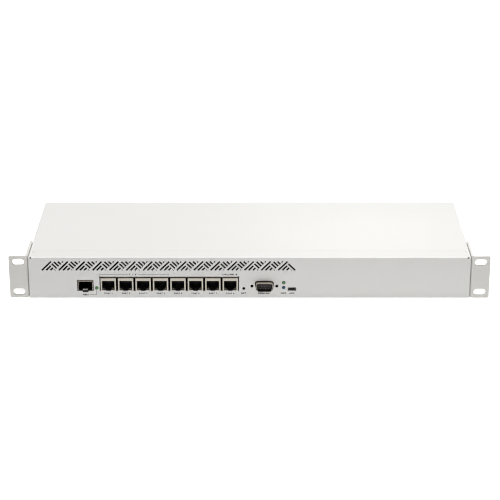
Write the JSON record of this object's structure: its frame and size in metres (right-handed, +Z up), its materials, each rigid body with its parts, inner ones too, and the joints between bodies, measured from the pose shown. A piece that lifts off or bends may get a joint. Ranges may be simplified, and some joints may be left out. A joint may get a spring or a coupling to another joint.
{
  "type": "rack-mount firewall appliance",
  "caption": "Low rack-mount network box with two slotted ears, a herringbone front vent, a row of network ports, and a fibre, serial and small data port.",
  "frame": {"origin": "on the surface that the case stands on, below the centre of the bounding box", "axes": "+X to the right seen from the front, along the rack's width; +Y from the front panel to the rear; +Z up"},
  "size_m": [0.4826, 0.173, 0.0454],
  "materials": {
    "white_paint": "fine satin powder coat",
    "zinc_steel": "zinc plated",
    "tinned_steel": "tin plated",
    "black_plastic": "moulded",
    "grey_plastic": "moulded",
    "green_light": "clear tinted light pipe",
    "blue_light": "clear tinted light pipe",
    "circuit_board": "solder mask",
    "memory_board": "solder mask",
    "aluminium": "extruded",
    "ferrite": "taped core and winding",
    "capacitor_sleeve": "heat-shrink sleeve",
    "lead_jacket": "cable jacket",
    "plated_brass": "nickel plated"
  },
  "bodies": {
    "chassis": {"front_panel": "white_paint", "top_cover": "white_paint", "base_tray": "white_paint", "rack_ear_left": "white_paint", "rack_ear_right": "white_paint", "ear_screw_left_1": "zinc_steel", "ear_screw_left_2": "zinc_steel", "ear_screw_left_3": "zinc_steel", "ear_screw_right_1": "zinc_steel", "ear_screw_right_2": "zinc_steel", "ear_screw_right_3": "zinc_steel", "cover_screw_1": "zinc_steel", "cover_screw_2": "zinc_steel", "cover_screw_3": "zinc_steel", "ground_screw": "zinc_steel", "port_shield_1": "tinned_steel", "port_shield_2": "tinned_steel", "port_shield_3": "tinned_steel", "port_shield_4": "tinned_steel", "port_shield_5": "tinned_steel", "port_shield_6": "tinned_steel", "port_shield_7": "tinned_steel", "port_shield_8": "tinned_steel", "fibre_cage": "tinned_steel", "serial_shell": "tinned_steel", "usb_shell": "tinned_steel", "port_insert_1": "black_plastic", "port_insert_2": "black_plastic", "port_insert_3": "black_plastic", "port_insert_4": "black_plastic", "port_insert_5": "black_plastic", "port_insert_6": "black_plastic", "port_insert_7": "black_plastic", "port_insert_8": "black_plastic", "fibre_connector": "black_plastic", "serial_insulator": "black_plastic", "reset_switch": "black_plastic", "processor": "black_plastic", "mains_inlet": "black_plastic", "fan_frame_1": "black_plastic", "fan_frame_2": "black_plastic", "usb_tongue": "grey_plastic", "fibre_light": "green_light", "status_light_green": "green_light", "status_light_blue": "blue_light", "main_board": "circuit_board", "power_board": "circuit_board", "memory_module": "memory_board", "processor_heatsink": "aluminium", "power_heatsink": "aluminium", "power_transformer": "ferrite", "power_capacitor": "capacitor_sleeve", "mains_leads": "lead_jacket", "low_voltage_leads": "lead_jacket", "mains_pin_live": "plated_brass", "mains_pin_neutral": "plated_brass", "mains_pin_earth": "plated_brass"},
    "reset_button": {"reset_plunger": "black_plastic"},
    "fan_1": {"fan_rotor_1": "black_plastic"},
    "fan_2": {"fan_rotor_2": "black_plastic"}
  },
  "joints": [
    {"name": "reset_press", "type": "slide", "parent": "chassis", "child": "reset_button", "axis": [0, 1, 0], "range_m": [0, 0.0005], "stiffness_N_per_m": 1000, "springref_m": -0.0003},
    {"name": "fan_1_spin", "type": "hinge", "parent": "chassis", "child": "fan_1", "pos_m": [-0.12, 0.07165, 0.0213], "axis": [0, 1, 0], "continuous": true},
    {"name": "fan_2_spin", "type": "hinge", "parent": "chassis", "child": "fan_2", "pos_m": [-0.06, 0.07165, 0.0213], "axis": [0, 1, 0], "continuous": true}
  ]
}
